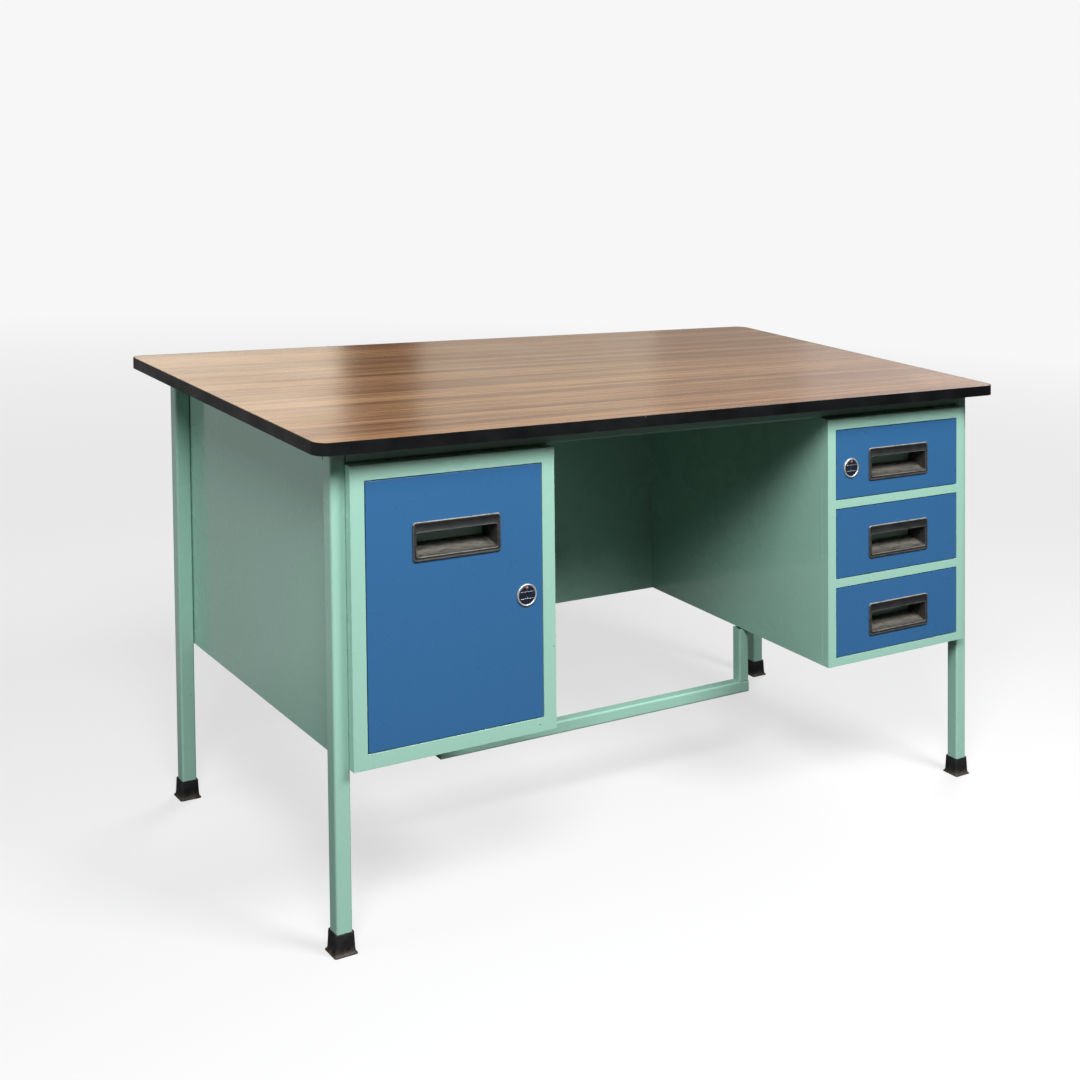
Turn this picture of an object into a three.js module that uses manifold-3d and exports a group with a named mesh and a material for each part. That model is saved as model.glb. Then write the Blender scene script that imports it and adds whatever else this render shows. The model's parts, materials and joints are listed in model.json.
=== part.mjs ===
// Steel teacher's desk: a laminated top on a square-tube frame, a cupboard on the left, three
// drawers on the right, and a modesty panel and a footrest between them.
// Millimetres, +Z up. The front faces -Y and the origin is on the floor under the top's centre.
import * as THREE from "three";
import { mergeVertices } from "three/addons/utils/BufferGeometryUtils.js";
import Module from "manifold-3d";

const wasm = await Module();
wasm.setup();

// Gap kept between pieces that touch, the sheet-metal thicknesses, and how far a cut runs past
// the face that it opens.
const GAP = 0.3;
const SHEET = 1.2;
const THIN_SHEET = 1;
const CUT = 1;

// How finely round shapes are divided.
const ROUND_SEGMENTS = 28;
const PIN_SEGMENTS = 20;
const CORNER_SEGMENTS = 5;
const TUBE_CORNER_SEGMENTS = 3;

// Top.
const TOP_LENGTH = 1372;
const TOP_DEPTH = 762;
const DESK_HEIGHT = 762;
const TOP_THICKNESS = 18.6;
const TOP_CORNER = 22;
const LAMINATE = 1;
const EDGE_BAND = 2;

// Tube frame: how far the top overhangs it on each side, and the tube.
const OVERHANG_LEFT = 44;
const OVERHANG_RIGHT = 24;
const OVERHANG_FRONT = 54;
const OVERHANG_BACK = 72;
const TUBE = 25;
const TUBE_WALL = 1.5;
const TUBE_CORNER = 3.5;

// Feet: plastic caps over the ends of the legs.
const FOOT_HEIGHT = 33;
const FOOT_FLOOR = 6;
const FOOT_TOP = 29.5;
const FOOT_BASE = 37;
const FOOT_NECK = 31.5;
const FOOT_FLARE_TOP = 34;
const FOOT_FLARE_HEIGHT = 5;
const FOOT_SOCKET_CORNER = 2.5;

// Pedestals: both have the same outer size and hang under the frame.
const PEDESTAL_WIDTH = 344;
const PEDESTAL_BOTTOM = 271.5;
const PEDESTAL_HEIGHT = 445;
const FACE_DEPTH = 15;
const PEDESTAL_BACK = 300;
const FACE_GAP = 0.5;
const PEDESTAL_UNDER_LEG = 2;
const WALL_BESIDE_LEG = 2.8;

// Cupboard and door.
const CUPBOARD_BORDER = 22.5;
const DOOR_GAP = 1.5;
const SHELF_HEIGHT = 480;
const SHELF_FRONT = -290;
const SHELF_LIP = 20;
const PIVOT_RADIUS = 2.5;
const PIVOT_FROM_EDGE = 8;
const PIVOT_FROM_FACE = 4;
const PIVOT_LENGTH = 18;
const PIVOT_RISE = 1;
const PIVOT_HOLE_SHORT = 20;

// Drawers.
const DRAWER_COUNT = 3;
const DRAWER_BORDER_SIDE = 18.75;
const DRAWER_BORDER_TOP = 19.5;
const MULLION = 15.5;
const DRAWER_OPENING = 126.5;
const TRAY_RISE = 8;
const TRAY_HEIGHT = 100;
const TRAY_INSET = 2.5;
const TRAY_LENGTH = 480;
const RUNNER_LENGTH = 540;
const RUNNER_FROM_FACE = 1;
const RUNNER_HEIGHT = 22;
const RUNNER_UNDER_TRAY = 6;

// Recessed pull handle: outer plate, and the finger opening inside it.
const HANDLE_WIDTH = 148;
const HANDLE_HEIGHT = 59;
const HANDLE_CORNER = 5;
const HANDLE_PROUD = 2.2;
const HANDLE_OPENING_WIDTH = 137;
const HANDLE_OPENING_HEIGHT = 36;
const HANDLE_OPENING_DROP = 4.5;
const HANDLE_OPENING_CORNER = 3;
const HANDLE_SLEEVE = 2;
const HANDLE_SLEEVE_START = 0.8;
const HANDLE_SLEEVE_DEPTH = 42;
const PULL_DEPTH = 42.3;
const DOOR_HANDLE_DROP = 97.5;
const DRAWER_HANDLE_DROP = 5;

// Cam lock: radii, then depths behind the front sheet. A proud size stands in front of it.
const LOCK_RIM = 17.5;
const LOCK_RIM_INSIDE = 14.6;
const LOCK_BARREL = 9;
const LOCK_BORE = 5.3;
const PLUG_RADIUS = 5;
const PLUG_FACE = 14.2;
const TAIL_RADIUS = 4;
const RIM_PROUD = 2.8;
const RIM_CHAMFER = 1.4;
const SEAT_PROUD = 1.1;
const PLUG_FACE_PROUD = 2.5;
const PLUG_FACE_CHAMFER = 0.5;
const BARREL_END = 15.2;
const TAIL_START = 15.5;
const TAIL_END = 19.9;
const KEYWAY_WIDTH = 2;
const KEYWAY_HEIGHT = 7;
const KEYWAY_DEPTH = 9;
const CAM_REACH = 42;
const CAM_WIDTH = 14;
const CAM_THICKNESS = 2;
const CAM_START = 15.9;
const CAM_SWEEP = 30;
const CAM_CLEARANCE = 8.5;
const CAM_NOTCH_DEPTH = 6;
const DOOR_LOCK_FROM_EDGE = 28.5;
const DOOR_LOCK_HEIGHT = 491;
const DRAWER_LOCK_FROM_EDGE = 34.3;
const DRAWER_LOCK_HEIGHT = 626.5;

// Modesty panel and footrest.
const MODESTY_Y = 189.5;
const MODESTY_FLANGE = 14;
const REST_TUBE = 22;
const REST_LEFT = -347;
const REST_RIGHT = 310;
const REST_FRONT = -100;
const REST_BOTTOM = 148.5;

// Planes and lines that follow from the sizes above.
const frameLeft = -TOP_LENGTH / 2 + OVERHANG_LEFT;
const frameRight = TOP_LENGTH / 2 - OVERHANG_RIGHT;
const frameFront = -TOP_DEPTH / 2 + OVERHANG_FRONT;
const frameBack = TOP_DEPTH / 2 - OVERHANG_BACK;
const topUnderside = DESK_HEIGHT - TOP_THICKNESS;
const frameTop = topUnderside - GAP;
const railBottom = frameTop - TUBE;
const pedestalTop = PEDESTAL_BOTTOM + PEDESTAL_HEIGHT;
const faceFront = frameFront - FACE_DEPTH - FACE_GAP;
const faceBack = faceFront + FACE_DEPTH;
const cupboardLeft = frameLeft + TUBE - PEDESTAL_UNDER_LEG;
const cupboardRight = cupboardLeft + PEDESTAL_WIDTH;
const drawersRight = frameRight - TUBE + PEDESTAL_UNDER_LEG;
const drawersLeft = drawersRight - PEDESTAL_WIDTH;
const wallFront = faceBack + GAP;
const pullBack = faceFront + PULL_DEPTH;

// Materials.
const finish = (color, roughness, metalness) =>
  new THREE.MeshStandardMaterial({ color, roughness, metalness });
const greenPaint = finish(0x9fcbbb, 0.35, 0.1);
const bluePaint = finish(0x41779f, 0.38, 0.1);
const woodLaminate = finish(0x6b4a34, 0.4, 0);
const board = finish(0xa58a68, 0.8, 0);
const blackEdge = finish(0x1c1d20, 0.45, 0);
const blackPlastic = finish(0x3a3a3c, 0.5, 0);
const footPlastic = finish(0x17181b, 0.6, 0);
const chrome = finish(0xc8c8c4, 0.18, 1);
const navyFace = finish(0x141e32, 0.3, 0);
const plainSteel = finish(0x9a9a98, 0.35, 1);

// Solids.
function solid(geometry) {
  const bare = geometry.clone();
  bare.deleteAttribute("normal");
  bare.deleteAttribute("uv");
  const merged = mergeVertices(bare, 1e-3);
  return new wasm.Manifold(
    new wasm.Mesh({
      numProp: 3,
      vertProperties: new Float32Array(merged.attributes.position.array),
      triVerts: new Uint32Array(merged.index.array),
    }),
  );
}

function geometryOf(manifold) {
  const mesh = manifold.getMesh();
  const geometry = new THREE.BufferGeometry();
  geometry.setAttribute("position", new THREE.BufferAttribute(mesh.vertProperties, 3));
  geometry.setIndex(new THREE.BufferAttribute(mesh.triVerts, 1));
  geometry.computeVertexNormals();
  return geometry;
}

// A block between two corners, given as [low, high] along each axis.
function block(x, y, z) {
  const geometry = new THREE.BoxGeometry(x[1] - x[0], y[1] - y[0], z[1] - z[0]);
  geometry.translate((x[0] + x[1]) / 2, (y[0] + y[1]) / 2, (z[0] + z[1]) / 2);
  return geometry;
}

const blockSolid = (x, y, z) => solid(block(x, y, z));

function roundedRectangle(width, height, radius, centreY = 0) {
  const shape = new THREE.Shape();
  const x = width / 2 - radius;
  const y = height / 2 - radius;
  shape.absarc(x, centreY - y, radius, -Math.PI / 2, 0, false);
  shape.absarc(x, centreY + y, radius, 0, Math.PI / 2, false);
  shape.absarc(-x, centreY + y, radius, Math.PI / 2, Math.PI, false);
  shape.absarc(-x, centreY - y, radius, Math.PI, Math.PI * 1.5, false);
  shape.closePath();
  return shape;
}

const extrude = (shape, depth, curveSegments = CORNER_SEGMENTS) =>
  new THREE.ExtrudeGeometry(shape, { depth, bevelEnabled: false, curveSegments });

// Extrusion of an upright XZ outline along Y, from y = 0 backwards.
function extrudeBack(shape, depth, curveSegments = CORNER_SEGMENTS) {
  const geometry = extrude(shape, depth, curveSegments);
  geometry.rotateX(Math.PI / 2);
  geometry.translate(0, depth, 0);
  return geometry;
}

function named(name, geometry, material, position = [0, 0, 0]) {
  const mesh = new THREE.Mesh(geometry, material);
  mesh.name = name;
  mesh.position.set(...position);
  return mesh;
}

function groupAt(position, ...children) {
  const group = new THREE.Group();
  group.position.set(...position);
  group.add(...children);
  return group;
}

const desk = new THREE.Group();

// Top: a board, the laminate glued on it and the edge band round both.
function slabOutline(inset) {
  return roundedRectangle(
    TOP_LENGTH - 2 * inset,
    TOP_DEPTH - 2 * inset,
    TOP_CORNER - inset,
  );
}

function edgeBandGeometry() {
  const outline = slabOutline(0);
  outline.holes.push(slabOutline(EDGE_BAND));
  return extrude(outline, TOP_THICKNESS);
}

const insideBand = EDGE_BAND + GAP;
const boardThickness = TOP_THICKNESS - LAMINATE - GAP;
desk.add(
  groupAt(
    [0, 0, topUnderside],
    named("top_board", extrude(slabOutline(insideBand), boardThickness), board),
    named("top_laminate", extrude(slabOutline(insideBand), LAMINATE), woodLaminate, [
      0,
      0,
      TOP_THICKNESS - LAMINATE,
    ]),
    named("edge_band", edgeBandGeometry(), blackEdge),
  ),
);

// Square tube along +Z, open at both ends.
function squareTube(length, size = TUBE) {
  const outline = roundedRectangle(size, size, TUBE_CORNER);
  const bore = size - 2 * TUBE_WALL;
  outline.holes.push(roundedRectangle(bore, bore, TUBE_CORNER - TUBE_WALL));
  return extrude(outline, length, TUBE_CORNER_SEGMENTS);
}

function tubeAlongX(name, from, to, y, z, size = TUBE) {
  const tube = named(name, squareTube(to - from, size), greenPaint, [from, y, z]);
  tube.rotation.y = Math.PI / 2;
  return tube;
}

function tubeAlongY(name, from, to, x, z) {
  const tube = named(name, squareTube(to - from), greenPaint, [x, to, z]);
  tube.rotation.x = Math.PI / 2;
  return tube;
}

// Foot: a tapered square sleeve with a flared base, over the end of a leg.
function footGeometry() {
  const frustum = (top, bottom, height) => {
    const sides = 4;
    const cone = new THREE.CylinderGeometry(
      top / Math.SQRT2,
      bottom / Math.SQRT2,
      height,
      sides,
    );
    cone.rotateY(Math.PI / sides);
    cone.rotateX(Math.PI / 2);
    cone.translate(0, 0, height / 2);
    return solid(cone);
  };
  const sleeve = frustum(FOOT_TOP, FOOT_NECK, FOOT_HEIGHT);
  const flare = frustum(FOOT_FLARE_TOP, FOOT_BASE, FOOT_FLARE_HEIGHT);
  const bore = TUBE + 2 * GAP;
  const socket = extrude(roundedRectangle(bore, bore, FOOT_SOCKET_CORNER), FOOT_HEIGHT);
  socket.translate(0, 0, FOOT_FLOOR);
  return geometryOf(sleeve.add(flare).subtract(solid(socket)));
}

// Legs and feet.
const legLines = {
  front_left: [frameLeft + TUBE / 2, frameFront + TUBE / 2],
  front_right: [frameRight - TUBE / 2, frameFront + TUBE / 2],
  rear_left: [frameLeft + TUBE / 2, frameBack - TUBE / 2],
  rear_right: [frameRight - TUBE / 2, frameBack - TUBE / 2],
};
const legBottom = FOOT_FLOOR + GAP;
for (const [corner, [x, y]] of Object.entries(legLines)) {
  desk.add(
    groupAt(
      [x, y, 0],
      named(`leg_${corner}`, squareTube(frameTop - legBottom), greenPaint, [0, 0, legBottom]),
      named(`foot_${corner}`, footGeometry(), footPlastic),
    ),
  );
}

// Rails between the legs, and two cross rails over the pedestals' inner walls.
const railZ = railBottom + TUBE / 2;
const innerLeft = frameLeft + TUBE + GAP;
const innerRight = frameRight - TUBE - GAP;
const innerFront = frameFront + TUBE + GAP;
const innerBack = frameBack - TUBE - GAP;
const [leftX, frontY] = legLines.front_left;
const [rightX, backY] = legLines.rear_right;
desk.add(
  tubeAlongX("rail_front", innerLeft, innerRight, frontY, railZ),
  tubeAlongX("rail_back", innerLeft, innerRight, backY, railZ),
  tubeAlongY("rail_left", innerFront, innerBack, leftX, railZ),
  tubeAlongY("rail_right", innerFront, innerBack, rightX, railZ),
  tubeAlongY("cross_rail_left", innerFront, innerBack, cupboardRight - TUBE / 2, railZ),
  tubeAlongY("cross_rail_right", innerFront, innerBack, drawersLeft + TUBE / 2, railZ),
);

// Front face of a pedestal: a folded channel round each opening, open at the back.
// Openings are [left, right, bottom, top] in the desk's frame.
function faceSolid(left, openings) {
  const right = left + PEDESTAL_WIDTH;
  const through = [faceFront - CUT, faceBack + CUT];
  let hollow = blockSolid(
    [left + SHEET, right - SHEET],
    [faceFront + SHEET, faceBack + CUT],
    [PEDESTAL_BOTTOM + SHEET, pedestalTop - SHEET],
  );
  for (const [x0, x1, z0, z1] of openings) {
    hollow = hollow.subtract(
      blockSolid([x0 - SHEET, x1 + SHEET], through, [z0 - SHEET, z1 + SHEET]),
    );
  }
  let face = blockSolid(
    [left, right],
    [faceFront, faceBack],
    [PEDESTAL_BOTTOM, pedestalTop],
  ).subtract(hollow);
  for (const [x0, x1, z0, z1] of openings) {
    face = face.subtract(blockSolid([x0, x1], through, [z0, z1]));
  }
  return face;
}

// The five sheets of a pedestal's box. The wall beside the legs stands just inside them.
function pedestalBox(prefix, left, outerSide) {
  const right = left + PEDESTAL_WIDTH;
  const x0 = outerSide === "left" ? left + WALL_BESIDE_LEG : left;
  const x1 = outerSide === "left" ? right : right - WALL_BESIDE_LEG;
  const y = [wallFront, PEDESTAL_BACK];
  const z = [PEDESTAL_BOTTOM, pedestalTop];
  const between = [x0 + SHEET + GAP, x1 - SHEET - GAP];
  const behindFace = [wallFront, PEDESTAL_BACK - SHEET - GAP];
  const wallNames = outerSide === "left" ? ["outer", "inner"] : ["inner", "outer"];
  desk.add(
    named(`${prefix}_${wallNames[0]}_wall`, block([x0, x0 + SHEET], y, z), greenPaint),
    named(`${prefix}_${wallNames[1]}_wall`, block([x1 - SHEET, x1], y, z), greenPaint),
    named(`${prefix}_floor`, block(between, behindFace, [z[0], z[0] + SHEET]), greenPaint),
    named(`${prefix}_roof`, block(between, behindFace, [z[1] - SHEET, z[1]]), greenPaint),
    named(
      `${prefix}_back`,
      block(between, [PEDESTAL_BACK - SHEET, PEDESTAL_BACK], z),
      greenPaint,
    ),
  );
  return between;
}

// Outline of the pull's finger opening, grown by a margin.
function mouth(margin, centreY = 0) {
  return roundedRectangle(
    HANDLE_OPENING_WIDTH + 2 * margin,
    HANDLE_OPENING_HEIGHT + 2 * margin,
    HANDLE_OPENING_CORNER + margin,
    centreY,
  );
}

// Recessed pull handle: a plate in front of the sheet and a sleeve that runs back through it.
// It is centred on its plate, with y = 0 on the front sheet.
function handleGeometry() {
  const plate = roundedRectangle(HANDLE_WIDTH, HANDLE_HEIGHT, HANDLE_CORNER);
  plate.holes.push(mouth(0, -HANDLE_OPENING_DROP));
  const sleeve = mouth(HANDLE_SLEEVE, -HANDLE_OPENING_DROP);
  sleeve.holes.push(mouth(0, -HANDLE_OPENING_DROP));
  const platePart = extrudeBack(plate, HANDLE_PROUD);
  platePart.translate(0, -HANDLE_PROUD - GAP, 0);
  const sleevePart = extrudeBack(sleeve, HANDLE_SLEEVE_DEPTH);
  sleevePart.translate(0, -HANDLE_SLEEVE_START, 0);
  return geometryOf(solid(platePart).add(solid(sleevePart)));
}

// Hole in a front sheet for the handle's sleeve.
function handleHole(x, z) {
  const geometry = extrudeBack(mouth(HANDLE_SLEEVE + GAP), 2 * FACE_DEPTH);
  geometry.translate(x, faceFront - FACE_DEPTH, z - HANDLE_OPENING_DROP);
  return solid(geometry);
}

function lockHole(x, z) {
  const radius = LOCK_BARREL + GAP;
  const hole = new THREE.CylinderGeometry(radius, radius, 3 * FACE_DEPTH, ROUND_SEGMENTS);
  hole.translate(x, faceFront, z);
  return solid(hole);
}

// Folded front panel: a sheet with its four edges turned back.
function pan(x, z) {
  const outer = blockSolid(x, [faceFront, faceBack], z);
  const hollow = blockSolid(
    [x[0] + THIN_SHEET, x[1] - THIN_SHEET],
    [faceFront + THIN_SHEET, faceBack + CUT],
    [z[0] + THIN_SHEET, z[1] - THIN_SHEET],
  );
  return outer.subtract(hollow);
}

// Lock: a rimmed housing that stays still, a plug that turns in it, and a cam on the plug's tail.
// Each is built about the Y axis, with y = 0 on the front sheet.
function lathe(points) {
  return new THREE.LatheGeometry(
    points.map(([r, y]) => new THREE.Vector2(r, y)),
    ROUND_SEGMENTS,
  );
}

function lockHousingGeometry() {
  return lathe([
    [LOCK_BORE, BARREL_END],
    [LOCK_BORE, -SEAT_PROUD],
    [LOCK_RIM_INSIDE, -SEAT_PROUD],
    [LOCK_RIM_INSIDE, -RIM_PROUD],
    [LOCK_RIM - RIM_CHAMFER, -RIM_PROUD],
    [LOCK_RIM, -RIM_PROUD + RIM_CHAMFER],
    [LOCK_RIM, -GAP],
    [LOCK_BARREL, -GAP],
    [LOCK_BARREL, BARREL_END],
    [LOCK_BORE, BARREL_END],
  ]);
}

function lockPlugGeometry() {
  const faceBackY = -SEAT_PROUD - GAP;
  const body = lathe([
    [0, -PLUG_FACE_PROUD],
    [PLUG_FACE - PLUG_FACE_CHAMFER, -PLUG_FACE_PROUD],
    [PLUG_FACE, -PLUG_FACE_PROUD + PLUG_FACE_CHAMFER],
    [PLUG_FACE, faceBackY],
    [PLUG_RADIUS, faceBackY],
    [PLUG_RADIUS, TAIL_START],
    [TAIL_RADIUS, TAIL_START],
    [TAIL_RADIUS, TAIL_END],
    [0, TAIL_END],
  ]);
  const keyway = blockSolid(
    [-KEYWAY_WIDTH / 2, KEYWAY_WIDTH / 2],
    [-PLUG_FACE_PROUD - CUT, KEYWAY_DEPTH],
    [-KEYWAY_HEIGHT / 2, KEYWAY_HEIGHT / 2],
  );
  return geometryOf(solid(body).subtract(keyway));
}

function camGeometry() {
  const half = CAM_WIDTH / 2;
  const shape = new THREE.Shape();
  shape.absarc(0, 0, half, 0, Math.PI, false);
  shape.lineTo(-half, -CAM_REACH);
  shape.lineTo(half, -CAM_REACH);
  shape.closePath();
  const hole = new THREE.Path();
  hole.absarc(0, 0, TAIL_RADIUS + GAP, 0, Math.PI * 2, true);
  shape.holes.push(hole);
  return extrudeBack(shape, CAM_THICKNESS, PIN_SEGMENTS);
}

function lock(prefix, x, z) {
  desk.add(
    groupAt(
      [x, faceFront, z],
      named(`${prefix}_lock_housing`, lockHousingGeometry(), chrome),
      named(`${prefix}_lock_plug`, lockPlugGeometry(), navyFace),
      named(`${prefix}_lock_cam`, camGeometry(), plainSteel, [0, CAM_START, 0]),
    ),
  );
}

// Cupboard: face, box, shelf and a door that turns on two pins.
const cupboardOpening = [
  cupboardLeft + CUPBOARD_BORDER,
  cupboardRight - CUPBOARD_BORDER,
  PEDESTAL_BOTTOM + CUPBOARD_BORDER,
  pedestalTop - CUPBOARD_BORDER,
];
const doorX = [cupboardOpening[0] + DOOR_GAP, cupboardOpening[1] - DOOR_GAP];
const doorZ = [cupboardOpening[2] + DOOR_GAP, cupboardOpening[3] - DOOR_GAP];
const pivotX = doorX[0] + PIVOT_FROM_EDGE;
const pivotY = faceFront + PIVOT_FROM_FACE;

// One long cut that opens the holes for both pins, in the face and in the door.
function pivotHole() {
  const radius = PIVOT_RADIUS + GAP;
  const length = PEDESTAL_HEIGHT - PIVOT_HOLE_SHORT;
  const hole = new THREE.CylinderGeometry(radius, radius, length, PIN_SEGMENTS);
  hole.rotateX(Math.PI / 2);
  hole.translate(pivotX, pivotY, PEDESTAL_BOTTOM + PEDESTAL_HEIGHT / 2);
  return solid(hole);
}

const cupboardFace = faceSolid(cupboardLeft, [cupboardOpening]).subtract(pivotHole());
desk.add(named("cupboard_face", geometryOf(cupboardFace), greenPaint));
const cupboardInside = pedestalBox("cupboard", cupboardLeft, "left");

// Shelf: a sheet with its front edge turned down, resting between the walls.
const shelfSheet = blockSolid(
  cupboardInside,
  [SHELF_FRONT, PEDESTAL_BACK - SHEET - GAP],
  [SHELF_HEIGHT, SHELF_HEIGHT + SHEET],
);
const shelfLip = blockSolid(
  cupboardInside,
  [SHELF_FRONT, SHELF_FRONT + SHEET],
  [SHELF_HEIGHT - SHELF_LIP, SHELF_HEIGHT + SHEET],
);
desk.add(named("cupboard_shelf", geometryOf(shelfSheet.add(shelfLip)), greenPaint));

// Door: outer pan, inner panel, handle and pins.
const doorHandleX = (doorX[0] + doorX[1]) / 2;
const doorHandleZ = doorZ[1] - DOOR_HANDLE_DROP;
const doorLockX = doorX[1] - DOOR_LOCK_FROM_EDGE;
const doorPan = pan(doorX, doorZ)
  .subtract(handleHole(doorHandleX, doorHandleZ))
  .subtract(lockHole(doorLockX, DOOR_LOCK_HEIGHT))
  .subtract(pivotHole());

// The inner panel has a pocket pressed into it, round the back of the handle.
function pocketBlock(margin, y) {
  const halfWidth = HANDLE_OPENING_WIDTH / 2 + HANDLE_SLEEVE + GAP + margin;
  const halfHeight = HANDLE_OPENING_HEIGHT / 2 + HANDLE_SLEEVE + GAP + margin;
  const z = doorHandleZ - HANDLE_OPENING_DROP;
  return blockSolid(
    [doorHandleX - halfWidth, doorHandleX + halfWidth],
    y,
    [z - halfHeight, z + halfHeight],
  );
}

const panelInset = THIN_SHEET + GAP;
const doorPanel = blockSolid(
  [doorX[0] + panelInset, doorX[1] - panelInset],
  [faceBack - THIN_SHEET, faceBack],
  [doorZ[0] + panelInset, doorZ[1] - panelInset],
)
  .add(pocketBlock(THIN_SHEET, [faceBack - THIN_SHEET, pullBack + THIN_SHEET]))
  .subtract(pocketBlock(0, [faceFront, pullBack]))
  .subtract(lockHole(doorLockX, DOOR_LOCK_HEIGHT));
desk.add(
  named("door_outer_pan", geometryOf(doorPan), bluePaint),
  named("door_inner_panel", geometryOf(doorPanel), greenPaint),
  named("door_handle", handleGeometry(), blackPlastic, [doorHandleX, faceFront, doorHandleZ]),
);
for (const [end, pinZ] of [
  ["top", doorZ[1] - PIVOT_RISE],
  ["bottom", doorZ[0] + PIVOT_RISE],
]) {
  const pin = new THREE.CylinderGeometry(PIVOT_RADIUS, PIVOT_RADIUS, PIVOT_LENGTH, PIN_SEGMENTS);
  pin.rotateX(Math.PI / 2);
  desk.add(named(`door_pin_${end}`, pin, plainSteel, [pivotX, pivotY, pinZ]));
}
lock("door", doorLockX, DOOR_LOCK_HEIGHT);

// Drawer pedestal: face with three openings, box, runners and drawers.
const drawerOpeningX = [drawersLeft + DRAWER_BORDER_SIDE, drawersRight - DRAWER_BORDER_SIDE];
const drawerOpenings = [];
for (let i = 0; i < DRAWER_COUNT; i++) {
  const top = pedestalTop - DRAWER_BORDER_TOP - i * (DRAWER_OPENING + MULLION);
  drawerOpenings.push([...drawerOpeningX, top - DRAWER_OPENING, top]);
}
desk.add(named("drawer_face", geometryOf(faceSolid(drawersLeft, drawerOpenings)), greenPaint));
const drawersInside = pedestalBox("drawers", drawersLeft, "right");

// Runner: an angle on the wall. The tray slides on its lower flange.
function runnerGeometry(wallX, towards, trayEdge, flangeTop) {
  const flangeEnd = trayEdge + towards * RUNNER_UNDER_TRAY;
  const runnerFront = wallFront + RUNNER_FROM_FACE;
  const y = [runnerFront, runnerFront + RUNNER_LENGTH];
  const span = (a, b) => [Math.min(a, b), Math.max(a, b)];
  const flange = blockSolid(span(wallX, flangeEnd), y, [flangeTop - SHEET, flangeTop]);
  const web = blockSolid(span(wallX, wallX + towards * SHEET), y, [
    flangeTop - SHEET,
    flangeTop + RUNNER_HEIGHT,
  ]);
  return geometryOf(flange.add(web));
}

// Tray: four walls and a floor. Its front wall stands back from the front pan, behind the pull
// and the lock. The locked drawer's wall has a notch where the cam swings through it.
const trayX = [drawerOpeningX[0] + TRAY_INSET, drawerOpeningX[1] - TRAY_INSET];

function trayGeometry(bottom, hasLock) {
  const y = [wallFront, wallFront + TRAY_LENGTH];
  const inner = [trayX[0] + THIN_SHEET, trayX[1] - THIN_SHEET];
  const above = [bottom + THIN_SHEET, bottom + TRAY_HEIGHT + CUT];
  let tray = blockSolid(trayX, y, [bottom, bottom + TRAY_HEIGHT])
    .subtract(blockSolid(inner, [pullBack + THIN_SHEET, y[1] - THIN_SHEET], above))
    .subtract(blockSolid(inner, [y[0] - CUT, pullBack], above));
  if (hasLock) {
    tray = tray.subtract(
      blockSolid(
        [trayX[0] - CUT, inner[0] + CUT],
        [y[0] - CUT, y[0] + CAM_NOTCH_DEPTH],
        [DRAWER_LOCK_HEIGHT - CAM_SWEEP, DRAWER_LOCK_HEIGHT + CAM_CLEARANCE],
      ),
    );
  }
  return geometryOf(tray);
}

const drawerNames = ["top", "middle", "bottom"];
const drawerX = [drawerOpeningX[0] + DOOR_GAP, drawerOpeningX[1] - DOOR_GAP];
const drawerLockX = drawerX[0] + DRAWER_LOCK_FROM_EDGE;
const drawerMiddle = (drawerX[0] + drawerX[1]) / 2;
drawerOpenings.forEach(([, , z0, z1], i) => {
  const name = `drawer_${drawerNames[i]}`;
  const hasLock = i === 0;
  const z = [z0 + DOOR_GAP, z1 - DOOR_GAP];
  const trayBottom = z[0] + TRAY_RISE;
  const handleZ = (z[0] + z[1]) / 2 - DRAWER_HANDLE_DROP;
  let front = pan(drawerX, z).subtract(handleHole(drawerMiddle, handleZ));
  if (hasLock) {
    front = front.subtract(lockHole(drawerLockX, DRAWER_LOCK_HEIGHT));
  }
  const flangeTop = trayBottom - GAP;
  desk.add(
    named(`${name}_front`, geometryOf(front), bluePaint),
    named(`${name}_tray`, trayGeometry(trayBottom, hasLock), greenPaint),
    named(`${name}_handle`, handleGeometry(), blackPlastic, [drawerMiddle, faceFront, handleZ]),
    named(
      `${name}_runner_left`,
      runnerGeometry(drawersInside[0], 1, trayX[0], flangeTop),
      plainSteel,
    ),
    named(
      `${name}_runner_right`,
      runnerGeometry(drawersInside[1], -1, trayX[1], flangeTop),
      plainSteel,
    ),
  );
});
lock("drawer", drawerLockX, DRAWER_LOCK_HEIGHT);

// Modesty panel between the pedestals, with its lower edge turned back.
const modestyX = [cupboardRight + GAP, drawersLeft - GAP];
const modestySheet = blockSolid(
  modestyX,
  [MODESTY_Y, MODESTY_Y + SHEET],
  [PEDESTAL_BOTTOM, frameTop],
);
const modestyFlange = blockSolid(
  modestyX,
  [MODESTY_Y, MODESTY_Y + MODESTY_FLANGE],
  [PEDESTAL_BOTTOM, PEDESTAL_BOTTOM + SHEET],
);
desk.add(named("modesty_panel", geometryOf(modestySheet.add(modestyFlange)), greenPaint));

// Footrest: a bar hung under the pedestals on two drops.
const restY = REST_FRONT + REST_TUBE / 2;
const dropBottom = REST_BOTTOM + REST_TUBE + GAP;
const dropLength = PEDESTAL_BOTTOM - GAP - dropBottom;
desk.add(
  tubeAlongX(
    "footrest_bar",
    REST_LEFT,
    REST_RIGHT,
    restY,
    REST_BOTTOM + REST_TUBE / 2,
    REST_TUBE,
  ),
);
for (const [side, x] of [
  ["left", REST_LEFT + REST_TUBE / 2],
  ["right", REST_RIGHT - REST_TUBE / 2],
]) {
  desk.add(
    named(`footrest_drop_${side}`, squareTube(dropLength, REST_TUBE), greenPaint, [
      x,
      restY,
      dropBottom,
    ]),
  );
}

export default desk;
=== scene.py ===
"""Looks of a steel teacher's desk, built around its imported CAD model.

The tubes, sheets, drawers and table top are the CAD model's own, with softened edges and
finished materials. The pull handles, the feet and the lock fronts are modelled here.
"""

import json
import math

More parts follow.
